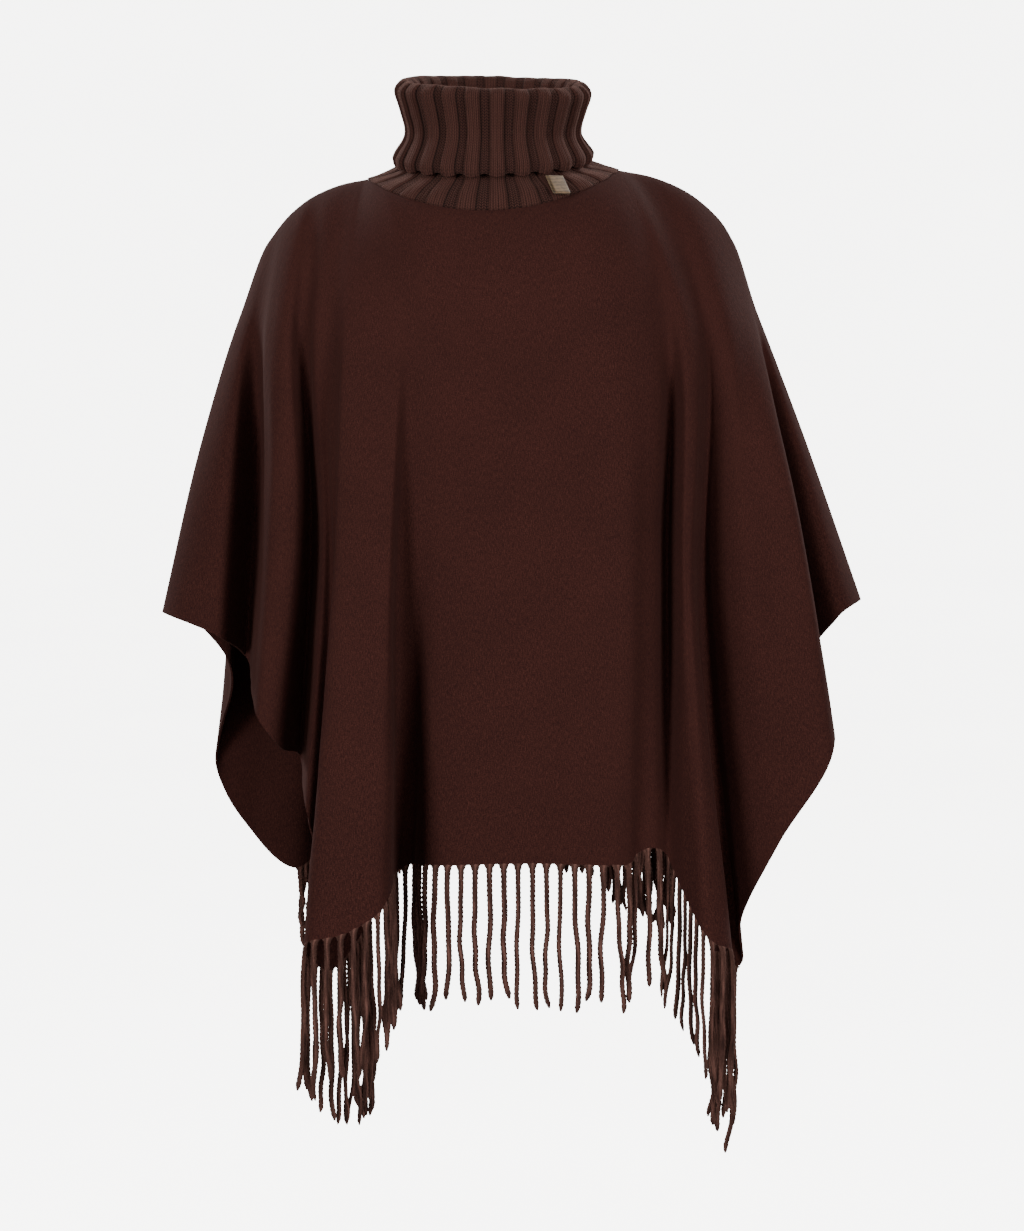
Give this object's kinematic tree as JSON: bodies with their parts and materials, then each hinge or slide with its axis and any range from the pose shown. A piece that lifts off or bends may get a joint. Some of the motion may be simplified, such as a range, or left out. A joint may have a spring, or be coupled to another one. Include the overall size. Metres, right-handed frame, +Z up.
{
  "type": "fringed poncho cape",
  "caption": "Draped wool cape with a ribbed roll neck, deep soft folds and a yarn fringe along its curved front and back hems.",
  "frame": {"origin": "middle of the neck opening at the height of the neck's sides, where the collar is sewn to the cloth", "axes": "+Z up, -Y out of the front, +X to the right as seen from the front"},
  "size_m": [0.666, 0.3561, 0.9998],
  "materials": {
    "wool": "brushed dark brown wool with a fine lighter fleck",
    "knit": "dark brown rib knit",
    "yarn": "matt twisted wool yarn",
    "ribbon": "bare tan woven ribbon with a faint sheen"
  },
  "bodies": {
    "root": {"front": "wool", "back": "wool", "collar": "knit", "tab": "ribbon", "fringe_front": "yarn", "fringe_back": "yarn"}
  },
  "joints": []
}
